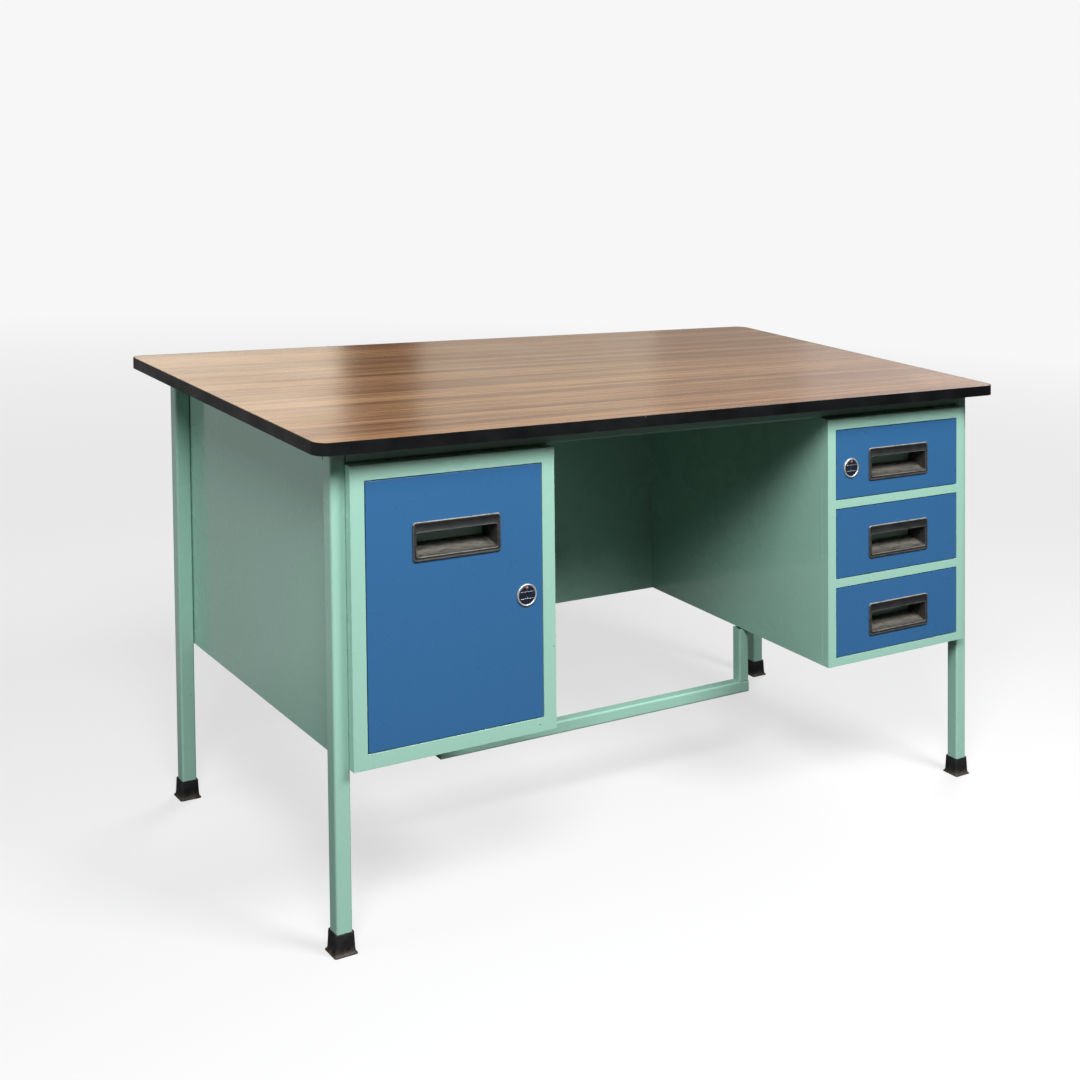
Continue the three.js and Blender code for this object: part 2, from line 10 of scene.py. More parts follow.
import bmesh
import bpy
from mathutils import Matrix, Vector


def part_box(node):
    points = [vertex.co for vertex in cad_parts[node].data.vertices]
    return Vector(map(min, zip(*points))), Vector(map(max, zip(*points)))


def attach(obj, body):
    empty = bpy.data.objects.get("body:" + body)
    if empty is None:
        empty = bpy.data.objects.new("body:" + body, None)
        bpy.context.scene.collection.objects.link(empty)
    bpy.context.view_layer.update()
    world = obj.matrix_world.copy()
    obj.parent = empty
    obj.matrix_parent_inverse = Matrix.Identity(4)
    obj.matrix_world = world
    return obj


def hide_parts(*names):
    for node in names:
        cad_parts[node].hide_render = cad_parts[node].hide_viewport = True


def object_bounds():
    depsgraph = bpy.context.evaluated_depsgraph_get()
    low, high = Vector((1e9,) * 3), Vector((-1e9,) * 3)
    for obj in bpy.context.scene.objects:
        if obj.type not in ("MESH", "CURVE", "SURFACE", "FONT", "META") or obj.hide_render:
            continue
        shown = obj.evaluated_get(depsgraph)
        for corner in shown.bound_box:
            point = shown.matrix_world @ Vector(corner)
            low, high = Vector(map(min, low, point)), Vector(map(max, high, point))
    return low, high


MM = 0.001

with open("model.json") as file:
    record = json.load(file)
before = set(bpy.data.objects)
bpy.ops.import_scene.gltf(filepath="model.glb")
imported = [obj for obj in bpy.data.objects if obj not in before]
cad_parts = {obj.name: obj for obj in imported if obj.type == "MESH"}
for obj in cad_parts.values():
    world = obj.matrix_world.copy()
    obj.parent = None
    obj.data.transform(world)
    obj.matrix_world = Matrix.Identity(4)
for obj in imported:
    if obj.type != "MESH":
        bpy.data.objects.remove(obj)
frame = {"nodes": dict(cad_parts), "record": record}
cad_low, cad_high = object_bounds()
nodes = frame["nodes"]
behaviour = frame["record"]["behaviour"]
slot_of = {part["node"]: part["material_slot"] for part in frame["record"]["subparts"]}
body_of_node = {node: body for body, members in behaviour["bodies"].items() for node in members}


# ---------------------------------------------------------------- material building blocks


def linear(red, green, blue):
    """An sRGB colour of 0 to 255 as the linear RGBA that a shader takes."""

    def channel(value):
        value /= 255
        return value / 12.92 if value <= 0.04045 else ((value + 0.055) / 1.055) ** 2.4

    return (channel(red), channel(green), channel(blue), 1.0)


def tint(colour, share):
    """A colour made lighter or darker by a share."""
    return tuple(channel * share for channel in colour[:3]) + (1.0,)


def feed(tree, source, target):
    """Sets a node's input from another node's output, or to a plain value."""
    if hasattr(source, "is_output"):
        tree.links.new(source, target)
    else:
        target.default_value = source


class Shader:
    """A material's node tree, with one short call for each kind of node."""

    def __init__(self, name):
        self.material = bpy.data.materials.new(name)
        self.material.use_nodes = True
        self.tree = self.material.node_tree
        self.surface = self.tree.nodes["Principled BSDF"]
        self.place = self.tree.nodes.new("ShaderNodeTexCoord").outputs["Object"]

    def feed(self, source, target):
        feed(self.tree, source, target)

    def stretched(self, stretch):
        """Object coordinates stretched along each axis: the larger, the finer a noise on them."""
        node = self.tree.nodes.new("ShaderNodeMapping")
        self.feed(self.place, node.inputs["Vector"])
        node.inputs["Scale"].default_value = stretch
        return node.outputs["Vector"]

    def noise(self, scale=1.0, detail=3.0, roughness=0.5, distortion=0.0, stretch=None):
        """A noise from 0 to 1, with its scale in cells to the metre."""
        node = self.tree.nodes.new("ShaderNodeTexNoise")
        self.feed(self.stretched(stretch) if stretch else self.place, node.inputs["Vector"])
        node.inputs["Scale"].default_value = scale
        node.inputs["Detail"].default_value = detail
        node.inputs["Roughness"].default_value = roughness
        node.inputs["Distortion"].default_value = distortion
        return node.outputs["Fac"]

    def ramp(self, value, *stops):
        """A colour ramp of (position, colour) stops."""
        node = self.tree.nodes.new("ShaderNodeValToRGB")
        self.feed(value, node.inputs["Fac"])
        elements = node.color_ramp.elements
        while len(elements) < len(stops):
            elements.new(stops[-1][0])
        for element, (position, colour) in zip(elements, stops):
            element.position = position
            element.color = colour
        return node.outputs["Color"]

    def range(self, value, low, high, to_low=0.0, to_high=1.0):
        """A value between low and high, moved to between to_low and to_high and held there."""
        node = self.tree.nodes.new("ShaderNodeMapRange")
        self.feed(value, node.inputs["Value"])
        node.inputs["From Min"].default_value = low
        node.inputs["From Max"].default_value = high
        node.inputs["To Min"].default_value = to_low
        node.inputs["To Max"].default_value = to_high
        return node.outputs["Result"]

    def mix(self, share, first, second):
        """The first colour, with a share of the second mixed in."""
        node = self.tree.nodes.new("ShaderNodeMix")
        node.data_type = "RGBA"
        self.feed(share, node.inputs["Factor"])
        self.feed(first, node.inputs["A"])
        self.feed(second, node.inputs["B"])
        return next(output for output in node.outputs if output.type == "RGBA")

    def times(self, first, second):
        """The product of two values."""
        node = self.tree.nodes.new("ShaderNodeMath")
        node.operation = "MULTIPLY"
        self.feed(first, node.inputs[0])
        self.feed(second, node.inputs[1])
        return node.outputs[0]

    def part_of(self, vector, axis):
        """One component of a vector: X, Y or Z."""
        node = self.tree.nodes.new("ShaderNodeSeparateXYZ")
        self.feed(vector, node.inputs[0])
        return node.outputs[axis]

    def bump(self, *layers):
        """Stacked bump: each layer is (height, depth in metres)."""
        normal = None
        for value, depth in layers:
            node = self.tree.nodes.new("ShaderNodeBump")
            node.inputs["Distance"].default_value = depth
            self.feed(value, node.inputs["Height"])
            if normal:
                self.feed(normal, node.inputs["Normal"])
            normal = node.outputs["Normal"]
        self.feed(normal, self.surface.inputs["Normal"])

    def finish(self, colour, roughness, **inputs):
        """Sets the surface's inputs, named with _ for a space, and returns the material."""
        self.feed(colour, self.surface.inputs["Base Color"])
        self.feed(roughness, self.surface.inputs["Roughness"])
        for name, value in inputs.items():
            self.feed(value, self.surface.inputs[name.replace("_", " ")])
        return self.material


# ---------------------------------------------------------------- materials

GREEN = linear(162, 208, 191)
BLUE = linear(52, 105, 154)
CHIPPED_GREEN = linear(70, 66, 60)
CHIPPED_BLUE = tint(BLUE, 0.45)
CHROME = linear(226, 226, 221)
ZINC = linear(168, 170, 168)

# Stretches of a noise along X, Y and Z.
# Upright stripes for the enamel's painted reflections.
UPRIGHT_REFLECTION_STREAKS = (70.0, 70.0, 3.0)
WOOD_WANDER = (0.9, 3.2, 1.0)
WOOD_BANDS = (0.8, 38.0, 1.0)
WOOD_FIGURE = (1.5, 190.0, 1.0)
WOOD_PORES = (14.0, 620.0, 1.0)
WOOD_SCRATCHES = (60.0, 900.0, 1.0)
BAND_SCUFFS = (24.0, 24.0, 420.0)
HANDLE_RUB = (60.0, 160.0, 420.0)

FOOT_DIRT_TOP = 14 * MM
FOOT_DIRT_FULL = 1 * MM


def enamel(name, colour, chip_colour):
    """Glossy stoving enamel on sheet steel: orange peel, slight fading, small chips, and faint
    lighter upright stripes painted in as reflections.
    """
    s = Shader(name)
    fading = s.noise(scale=1.6, detail=2.0)
    cloud = s.noise(scale=11.0)
    reflection_streaks = s.noise(stretch=UPRIGHT_REFLECTION_STREAKS)
    specks = s.noise(scale=150.0, detail=2.0)
    patches = s.noise(scale=5.0, detail=1.0)
    orange_peel = s.noise(scale=300.0, detail=1.0)
    paint = s.ramp(fading, (0.3, tint(colour, 0.97)), (0.7, tint(colour, 1.03)))
    paint = s.mix(s.range(cloud, 0.3, 0.8, to_high=0.08), paint, tint(colour, 0.9))
    # Faint lighter upright stripes: a painted reflection in the gloss, not a real mark in the
    # paint.
    paint = s.mix(s.range(reflection_streaks, 0.5, 0.8, to_high=0.08), paint, tint(colour, 1.15))
    chipped = s.times(s.range(specks, 0.77, 0.79), s.range(patches, 0.58, 0.64))
    paint = s.mix(chipped, paint, chip_colour)
    s.bump((orange_peel, 0.02 * MM))
    return s.finish(
        paint,
        s.range(cloud, 0.2, 0.9, to_low=0.25, to_high=0.31),
        IOR=1.5,
        Specular_IOR_Level=0.3,
        Coat_Weight=0.8,
        Coat_Roughness=0.07,
    )


def laminate():
    """Satin walnut laminate: long fine figure along the desk's length, pores and scratches."""
    s = Shader("walnut_laminate")
    wander = s.noise(detail=2.0, stretch=WOOD_WANDER)
    bands = s.noise(detail=4.0, roughness=0.55, stretch=WOOD_BANDS)
    fine = s.noise(detail=8.0, roughness=0.62, distortion=0.15, stretch=WOOD_FIGURE)
    pores = s.noise(roughness=0.7, stretch=WOOD_PORES)
    scratches = s.noise(detail=1.0, stretch=WOOD_SCRATCHES)
    rare = s.noise(scale=9.0, detail=2.0)
    polish = s.noise(scale=5.0, detail=5.0)
    figure = s.ramp(
        fine,
        (0.34, linear(78, 47, 29)),
        (0.46, linear(126, 87, 57)),
        (0.54, linear(152, 111, 76)),
        (0.68, linear(190, 150, 108)),
    )
    tone = s.ramp(bands, (0.36, linear(96, 61, 40)), (0.64, linear(178, 138, 98)))
    red_brown = linear(134, 84, 54)
    pore_brown = linear(62, 40, 28)
    scratch_tan = linear(205, 185, 160)
    colour = s.mix(0.45, figure, tone)
    colour = s.mix(s.range(wander, 0.42, 0.62, to_high=0.3), colour, red_brown)
    colour = s.mix(s.range(pores, 0.52, 0.72, to_high=0.6), colour, pore_brown)
    scratched = s.times(s.range(scratches, 0.74, 0.78), s.range(rare, 0.6, 0.7, to_high=0.6))
    colour = s.mix(scratched, colour, scratch_tan)
    s.bump((pores, 0.02 * MM), (fine, 0.01 * MM))
    return s.finish(colour, s.range(polish, 0.3, 0.7, to_low=0.17, to_high=0.24), IOR=1.47)


def raw_board():
    """Unfinished board: pale chips pressed together."""
    s = Shader("raw_board")
    chips = s.noise(scale=210.0, detail=5.0, roughness=0.7, distortion=0.8)
    colour = s.ramp(chips, (0.3, linear(112, 86, 58)), (0.7, linear(186, 158, 118)))
    s.bump((chips, 0.2 * MM))
    return s.finish(colour, roughness=0.85)


def edge_strip():
    """Black edge strip with fine scuffs along it and small pale nicks."""
    s = Shader("edge_strip")
    cloud = s.noise(scale=18.0, detail=4.0)
    scuffs = s.noise(detail=4.0, stretch=BAND_SCUFFS)
    nicks = s.noise(scale=130.0, detail=2.0)
    colour = s.ramp(cloud, (0.3, linear(5, 6, 8)), (0.75, linear(13, 14, 16)))
    colour = s.mix(s.range(scuffs, 0.62, 0.78, to_high=0.3), colour, linear(44, 45, 48))
    colour = s.mix(s.range(nicks, 0.76, 0.78), colour, linear(120, 120, 116))
    s.bump((scuffs, 0.08 * MM), (cloud, 0.1 * MM))
    roughness = s.range(cloud, 0.3, 0.7, to_low=0.36, to_high=0.55)
    return s.finish(colour, roughness, Specular_IOR_Level=0.35)


def moulded_plastic():
    """Dark grey moulded plastic, fine-grained, with pale upper edges that are partly wear and
    partly a painted highlight, and paler patches on the flats that face up.
    """
    s = Shader("moulded_plastic")
    cloud = s.noise(scale=60.0, detail=5.0, roughness=0.65)
    rub = s.noise(detail=5.0, roughness=0.7, stretch=HANDLE_RUB)
    grain = s.noise(scale=900.0, detail=2.0)
    geometry = s.tree.nodes.new("ShaderNodeNewGeometry")
    facing_up = s.part_of(geometry.outputs["Normal"], "Z")
    edge = s.range(geometry.outputs["Pointiness"], 0.505, 0.56)
    # Edges are painted pale mostly where they face up: partly wear, partly a painted highlight from
    # the light above.
    highlight_facing_up = s.range(facing_up, 0.1, 0.6, to_low=0.18)
    wear_and_highlight = s.times(s.times(edge, highlight_facing_up), s.range(rub, 0.3, 0.55))
    # Flats that face up are painted paler in patches.
    paler_flats_facing_up = s.times(s.range(facing_up, 0.8, 0.95, to_high=0.3), s.range(rub, 0.42, 0.68))
    colour = s.ramp(cloud, (0.3, linear(25, 26, 28)), (0.72, linear(46, 47, 48)))
    # Pale edges, partly wear and partly painted highlight.
    colour = s.mix(wear_and_highlight, colour, linear(176, 170, 158))
    colour = s.mix(paler_flats_facing_up, colour, linear(108, 107, 102))
    colour = s.mix(s.range(rub, 0.55, 0.8, to_high=0.25), colour, linear(92, 92, 90))
    s.bump((grain, 0.04 * MM), (rub, 0.08 * MM))
    return s.finish(colour, s.range(rub, 0.3, 0.7, to_low=0.4, to_high=0.62))


def foot_plastic():
    """Dull black plastic, with dust and floor dirt rising from the base."""
    s = Shader("foot_plastic")
    cloud = s.noise(scale=90.0, detail=5.0, roughness=0.65)
    grain = s.noise(scale=700.0, detail=2.0)
    near_floor = s.range(s.part_of(s.place, "Z"), FOOT_DIRT_TOP, FOOT_DIRT_FULL, to_high=0.55)
    dirt = s.times(near_floor, s.range(cloud, 0.35, 0.65))
    colour = s.ramp(cloud, (0.3, linear(10, 10, 12)), (0.72, linear(28, 27, 27)))
    colour = s.mix(dirt, colour, linear(112, 98, 82))
    s.bump((grain, 0.05 * MM), (cloud, 0.2 * MM))
    return s.finish(colour, s.range(cloud, 0.3, 0.7, to_low=0.5, to_high=0.72))


def plated(name, colour, roughness, metallic=1.0):
    """Plated metal with fine handling marks."""
    s = Shader(name)
    marks = s.noise(scale=260.0)
    shade = s.ramp(marks, (0.3, tint(colour, 0.86)), (0.7, colour))
    s.bump((marks, 0.02 * MM))
    rough = s.range(marks, 0.3, 0.7, to_low=roughness, to_high=roughness + 0.12)
    return s.finish(shade, rough, Metallic=metallic)


def lock_face():
    """Navy enamel on the plug's face, with handling marks."""
    s = Shader("lock_face")
    marks = s.noise(scale=420.0, detail=4.0)
    colour = s.ramp(marks, (0.35, linear(14, 22, 42)), (0.75, linear(34, 44, 66)))
    s.bump((marks, 0.02 * MM))
    return s.finish(colour, s.range(marks, 0.3, 0.7, to_low=0.22, to_high=0.4), Coat_Weight=0.4)


def marker_dot():
    """Orange paint of the index dot on the plug's face."""
    s = Shader("marker_dot")
    marks = s.noise(scale=900.0)
    colour = s.ramp(marks, (0.3, linear(214, 104, 62)), (0.7, linear(242, 148, 104)))
    s.bump((marks, 0.03 * MM))
    return s.finish(colour, roughness=0.4)


materials = {
    "green_paint": enamel("green_enamel", GREEN, CHIPPED_GREEN),
    "blue_paint": enamel("blue_enamel", BLUE, CHIPPED_BLUE),
    "wood_laminate": laminate(),
    "core_board": raw_board(),
    "black_edge": edge_strip(),
    "black_foot": foot_plastic(),
    "black_plastic": moulded_plastic(),
    "lock_chrome": plated("lock_chrome", CHROME, roughness=0.3, metallic=0.6),
    "lock_face": lock_face(),
    "zinc_steel": plated("zinc_steel", ZINC, roughness=0.34),
}
orange = marker_dot()


# ---------------------------------------------------------------- carried-over CAD nodes

WELD_DISTANCE = 0.01 * MM
SHEET_EDGE = 0.45 * MM
LAMINATE_EDGE = 0.25 * MM
BAND_EDGE = 1.4 * MM
BEVEL_ANGLE = math.radians(50)

edge_widths = {"edge_band": BAND_EDGE, "top_laminate": LAMINATE_EDGE}


def soften(node, width):
    """Rounds the sharp edges of a CAD node, and keeps its flat faces shaded flat."""
    weld = node.modifiers.new("weld", "WELD")
    weld.merge_threshold = WELD_DISTANCE
    bevel = node.modifiers.new("edge", "BEVEL")
    bevel.width = width
    bevel.segments = 2
    bevel.limit_method = "ANGLE"
    bevel.angle_limit = BEVEL_ANGLE
    bevel.use_clamp_overlap = width > SHEET_EDGE
    shading = node.modifiers.new("shading", "WEIGHTED_NORMAL")
    shading.mode = "FACE_AREA"
    shading.weight = 100
    node.data.shade_smooth()


for name, node in nodes.items():
    node.data.materials.clear()
    node.data.materials.append(materials[slot_of[name]])
    soften(node, edge_widths.get(name, SHEET_EDGE))


# ---------------------------------------------------------------- shapes of the new pieces


def piece(name, mesh, slot, body, replaced=None, material=None):
    """Adds a mesh as a piece that rides on a body, and may stand for a CAD node."""
    data = bpy.data.meshes.new(name)
    bmesh.ops.recalc_face_normals(mesh, faces=mesh.faces)
    mesh.to_mesh(data)
    mesh.free()
    data.materials.append(material or materials[slot])
    data.shade_smooth()
    thing = bpy.data.objects.new(name, data)
    bpy.context.scene.collection.objects.link(thing)
    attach(thing, body)
    if replaced:
        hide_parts(replaced)


def rounded_outline(width, height, radius, steps):
    """The (across, up) points of a rounded rectangle about the origin."""
    points = []
    for corner in range(4):
        across = width / 2 - radius if corner in (0, 3) else radius - width / 2
        up = height / 2 - radius if corner in (0, 1) else radius - height / 2
        for step in range(steps + 1):
            turn = (corner + step / steps) * math.pi / 2
            points.append((across + radius * math.cos(turn), up + radius * math.sin(turn)))
    return points


def upright_ring(mesh, width, height, radius, centre, y, steps=6):
    """A ring of vertices round a rounded rectangle in an XZ plane."""
    points = rounded_outline(width, height, radius, steps)
    return [mesh.verts.new((centre.x + x, y, centre.z + z)) for x, z in points]


def level_ring(mesh, half, radius, centre, z, steps=4):
    """A ring of vertices round a rounded square in a level plane."""
    points = rounded_outline(2 * half, 2 * half, radius, steps)
    return [mesh.verts.new((centre.x + x, centre.y + y, z)) for x, y in points]


def turned_rings(mesh, profile, centre, steps):
    """Rings about an axis along Y through a centre, from (radius, y) points."""
    rings = []
    for radius, y in profile:
        ring = []
        for step in range(steps):
            angle = step / steps * math.tau
            x = centre.x + radius * math.cos(angle)
            z = centre.z + radius * math.sin(angle)
            ring.append(mesh.verts.new((x, y, z)))
        rings.append(ring)
    return rings


def bridge(mesh, first, second):
    """Quads between two rings of equal length."""
    count = len(first)
    for i in range(count):
        j = (i + 1) % count
        mesh.faces.new((first[i], first[j], second[j], second[i]))


def skin(mesh, rings):
    """Quads from each ring to the next."""
    for first, second in zip(rings, rings[1:]):
        bridge(mesh, first, second)


def capped_skin(mesh, rings):
    """A plain solid: quads from each ring to the next, and a face over each end."""
    skin(mesh, rings)
    mesh.faces.new(rings[0])
    mesh.faces.new(rings[-1])


def looped_skin(mesh, rings):
    """A solid with a hole through it: quads from each ring to the next, and back to the first."""
    skin(mesh, rings + rings[:1])


# ---------------------------------------------------------------- pull handles

HANDLE_TOP_BAR = 16.0 * MM
HANDLE_SIDE_BAR = 5.5 * MM
HANDLE_BOTTOM_BAR = 7.0 * MM
HANDLE_CORNER = 5.0 * MM
HANDLE_EDGE = 1.0 * MM
HANDLE_GAP = 0.3 * MM

# Profiles of the frame's front, from its outline inwards, and of the mouth's raised lip, into
# the mouth: the inset, the depth behind the front and the corner's radius, all in mm.
HANDLE_RIM = ((0.3, 0.3, 4.7), (1.0, 0.0, 4.0), (2.6, 0.0, 3.6), (3.1, 0.5, 3.2))
MOUTH_LIP = (
    (-1.5, 0.5, 4.0),
    (-1.0, 0.1, 3.6),
    (-0.3, 0.1, 3.2),
    (0.0, 0.6, 3.0),
    (0.1, 2.4, 3.0),
)

# The scoop's wall at its open back and at its root, and how far its floor climbs.
SCOOP_WALL = 1.6 * MM
SCOOP_ROOT_WALL = 1.7 * MM
SCOOP_RISE = 8.0 * MM
SCOOP_INNER_CORNER = 2.6 * MM
SCOOP_OUTER_CORNER = 3.0 * MM
SCOOP_ROOT_CORNER = 3.4 * MM


def sheet_behind(handle):
    """The node of the sheet that a handle is set into."""
    return "door_outer_pan" if handle == "door_handle" else handle.replace("_handle", "_front")


def pull_handle(handle):
    """A moulded pull: a raised frame, and a scoop whose floor climbs towards its open back."""
    low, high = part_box(handle)
    sheet_low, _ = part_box(sheet_behind(handle))
    front = low.y
    plate_back = sheet_low.y - HANDLE_GAP
    scoop_end = high.y
    size = high - low
    centre = (low + high) / 2
    mouth_width = size.x - 2 * HANDLE_SIDE_BAR
    mouth_height = size.z - HANDLE_TOP_BAR - HANDLE_BOTTOM_BAR
    mouth_middle = low.z + HANDLE_BOTTOM_BAR + mouth_height / 2
    mesh = bmesh.new()

    def outer(inset, y, radius):
        return upright_ring(mesh, size.x - 2 * inset, size.z - 2 * inset, radius, centre, y)

    def inner(inset, y, radius, rise=0.0):
        middle = Vector((centre.x, y, mouth_middle + rise / 2))
        width, height = mouth_width - 2 * inset, mouth_height - 2 * inset - rise
        return upright_ring(mesh, width, height, radius, middle, y)

    rings = [
        outer(0.0, plate_back, HANDLE_CORNER),
        outer(0.0, front + HANDLE_EDGE, HANDLE_CORNER),
    ]
    for inset, depth, radius in HANDLE_RIM:
        rings.append(outer(inset * MM, front + depth * MM, radius * MM))
    for inset, depth, radius in MOUTH_LIP:
        rings.append(inner(inset * MM, front + depth * MM, radius * MM))
    rings += [
        inner(SCOOP_WALL, scoop_end, SCOOP_INNER_CORNER, SCOOP_RISE),
        inner(0.0, scoop_end, SCOOP_OUTER_CORNER, SCOOP_RISE),
        inner(-SCOOP_ROOT_WALL, plate_back, SCOOP_ROOT_CORNER),
    ]
    looped_skin(mesh, rings)
    piece(handle + "_moulding", mesh, "black_plastic", body_of_node[handle], handle)


for name in nodes:
    if name.endswith("_handle"):
        pull_handle(name)


# ---------------------------------------------------------------- feet

# The flare above the floor: the inset from the base's edge and the height, in mm.
FOOT_FLARE = ((1.6, 0.0), (0.4, 0.4), (0.0, 1.4), (0.5, 2.4), (1.8, 3.6), (2.6, 5.6), (2.9, 9.0))
FOOT_WAIST_INSET = 3.4 * MM
FOOT_WAIST_SHARE = 0.6
# The sleeve's rim: the inset from the base's edge and the depth below the rim, in mm.
FOOT_RIM = ((3.9, 1.2), (4.3, 0.3))
# The sleeve's mouth: the distance outside the bore and the depth below the rim, in mm.
FOOT_MOUTH = ((0.9, 0.0), (0.1, 0.3), (0.0, 1.2))
FOOT_CORNER = 3.0 * MM
FOOT_GAP = 0.3 * MM
FOOT_SEAT_GAP = 0.2 * MM


def foot_cap(foot, leg):
    """A plastic cap: a tapered sleeve round the leg that flares into a thin square base."""
    low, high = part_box(foot)
    leg_low, leg_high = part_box(leg)
    centre = (low + high) / 2
    base = (high.x - low.x) / 2
    bore = (leg_high.x - leg_low.x) / 2 + FOOT_GAP
    top = high.z
    outline = [(base - inset * MM, height * MM) for inset, height in FOOT_FLARE]
    outline.append((base - FOOT_WAIST_INSET, top * FOOT_WAIST_SHARE))
    outline += [(base - inset * MM, top - depth * MM) for inset, depth in FOOT_RIM]
    outline += [(bore + outset * MM, top - depth * MM) for outset, depth in FOOT_MOUTH]
    outline.append((bore, leg_low.z - FOOT_SEAT_GAP))
    mesh = bmesh.new()
    capped_skin(mesh, [level_ring(mesh, half, FOOT_CORNER, centre, z) for half, z in outline])
    piece(foot + "_cap", mesh, "black_foot", body_of_node[foot], foot)


for name in nodes:
    if name.startswith("foot_"):
        foot_cap(name, name.replace("foot_", "leg_"))


# ---------------------------------------------------------------- locks

# The rim's seat on the sheet and the ledge behind the plug's face are depths behind its front.
RIM_SEAT = 2.5 * MM
RIM_LEDGE = 1.7 * MM
RIM_GAP = 0.4 * MM
RIM_ARC_STEPS = 8
RIM_STEPS = 64
BARREL_RADIUS = 9.0 * MM
BARREL_BORE = 5.3 * MM

PLUG_RADIUS = 5.0 * MM
PLUG_TAIL = 4.0 * MM
PLUG_STEPS = 36
FACE_THICKNESS = 1.1 * MM
FACE_EDGE = 0.5 * MM
FACE_DROP = 0.1 * MM
# The face's dome: shares of its radius and depths behind the plug's front, in mm.
FACE_DOME = ((0.8, 0.05), (0.55, 0.0))
KEY_HALF_WIDTH = 1.0 * MM
KEY_HALF_HEIGHT = 3.5 * MM
KEY_DEPTH = 6.0 * MM

LINE_OFFSET = 5.4 * MM
LINE_MARGIN = 1.6 * MM
LINE_HEIGHT = 0.7 * MM
LINE_CORNER = 0.34 * MM
LINE_EDGE = 0.1 * MM
LINE_STEPS = 3

DOT_MARGIN = 2.6 * MM
DOT_STEPS = 20
# The dot's outline: the radius and the depth behind the plug's front, in mm.
DOT_PROFILE = ((1.8, 0.4), (1.8, -0.05), (1.5, -0.2), (0.8, -0.27))


def lock_front(prefix):
    """The visible lock: a rolled chrome rim, and a plug that turns in it."""
    housing, plug = prefix + "_lock_housing", prefix + "_lock_plug"
    low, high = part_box(housing)
    plug_low, plug_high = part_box(plug)
    centre = (low + high) / 2
    face = (plug_high.x - plug_low.x) / 2
    front, back = plug_low.y, plug_high.y
    lock_rim(housing, low, high, centre, face)
    key_plug(plug, front, back, centre, face)
    for where, offset in (("lower", -LINE_OFFSET), ("upper", LINE_OFFSET)):
        face_line(f"{prefix}_lock_{where}_line", plug, front, centre, face, offset)
    index_dot(f"{prefix}_lock_dot", plug, front, centre, face)


def lock_rim(housing, low, high, centre, face):
    """The chrome rim, rolled over between the sheet and the plug's face, and its barrel."""
    outside = (high.x - low.x) / 2
    inside = face + RIM_GAP
    middle, half = (outside + inside) / 2, (outside - inside) / 2
    front, seat, ledge = low.y, low.y + RIM_SEAT, low.y + RIM_LEDGE
    profile = [(outside, seat)]
    for step in range(RIM_ARC_STEPS + 1):
        angle = step / RIM_ARC_STEPS * math.pi
        profile.append((middle + half * math.cos(angle), front + half * (1 - math.sin(angle))))
    profile += [(inside, ledge), (BARREL_BORE, ledge), (BARREL_BORE, high.y)]
    profile += [(BARREL_RADIUS, high.y), (BARREL_RADIUS, seat)]
    mesh = bmesh.new()
    looped_skin(mesh, turned_rings(mesh, profile, centre, RIM_STEPS))
    piece(housing + "_rim", mesh, "lock_chrome", body_of_node[housing], housing)


def key_plug(plug, front, back, centre, face):
    """The turning plug: a slightly domed face with a keyway, on a round barrel."""
    profile = [
        (PLUG_RADIUS, back - PLUG_TAIL),
        (PLUG_RADIUS, front + FACE_THICKNESS),
        (face, front + FACE_THICKNESS),
        (face, front + FACE_EDGE),
        (face - FACE_EDGE, front + FACE_DROP),
    ]
    profile += [(face * share, front + depth * MM) for share, depth in FACE_DOME]
    mesh = bmesh.new()
    rings = turned_rings(mesh, profile, centre, PLUG_STEPS)
    keyway, keyway_end = [], []
    for vertex in rings[-1]:
        across, up = vertex.co.x - centre.x, vertex.co.z - centre.z
        reach = max(abs(across) / KEY_HALF_WIDTH, abs(up) / KEY_HALF_HEIGHT)
        x, z = centre.x + across / reach, centre.z + up / reach
        keyway.append(mesh.verts.new((x, front, z)))
        keyway_end.append(mesh.verts.new((x, front + KEY_DEPTH, z)))
    capped_skin(mesh, rings + [keyway, keyway_end])
    piece(plug + "_face", mesh, "lock_face", body_of_node[plug], plug)


def face_line(name, plug, front, centre, face, offset):
    """A thin raised line across the plug's face, above or below the keyway."""
    length = 2 * (math.sqrt(face**2 - offset**2) - LINE_MARGIN)
    middle = Vector((centre.x, 0, centre.z + offset))
    top_length, top_height = length - 2 * LINE_EDGE, LINE_HEIGHT - 2 * LINE_EDGE
    sections = (
        (length, LINE_HEIGHT, LINE_CORNER, front + 3 * LINE_EDGE),
        (length, LINE_HEIGHT, LINE_CORNER, front - LINE_EDGE),
        (top_length, top_height, LINE_CORNER - LINE_EDGE, front - 2 * LINE_EDGE),
    )
    mesh = bmesh.new()
    rings = [
        upright_ring(mesh, width, height, radius, middle, y, LINE_STEPS)
        for width, height, radius, y in sections
    ]
    capped_skin(mesh, rings)
    piece(name, mesh, "lock_chrome", body_of_node[plug])


def index_dot(name, plug, front, centre, face):
    """The orange dot near the top of the plug's face."""
    middle = Vector((centre.x, 0, centre.z + face - DOT_MARGIN))
    profile = [(radius * MM, front + depth * MM) for radius, depth in DOT_PROFILE]
    mesh = bmesh.new()
    capped_skin(mesh, turned_rings(mesh, profile, middle, DOT_STEPS))
    piece(name, mesh, "lock_face", body_of_node[plug], material=orange)


for prefix in ("door", "drawer"):
    lock_front(prefix)


# ---------------------------------------------------------------- camera

# The photograph's uprights were straightened, so the camera's axes aren't quite square to each
# other, and they are kept in its parent matrix.
CAMERA_PLACE = Vector((-1.64526, -2.50246, 1.27415))
CAMERA_RIGHT = Vector((0.788151, -0.612569, 0.059820))
CAMERA_UP = Vector((0.031146, 0.031159, 1.001164))
CAMERA_AHEAD = Vector((0.509054, 0.818706, -0.265672))
SENSOR = 36.0
LENS = 56.80


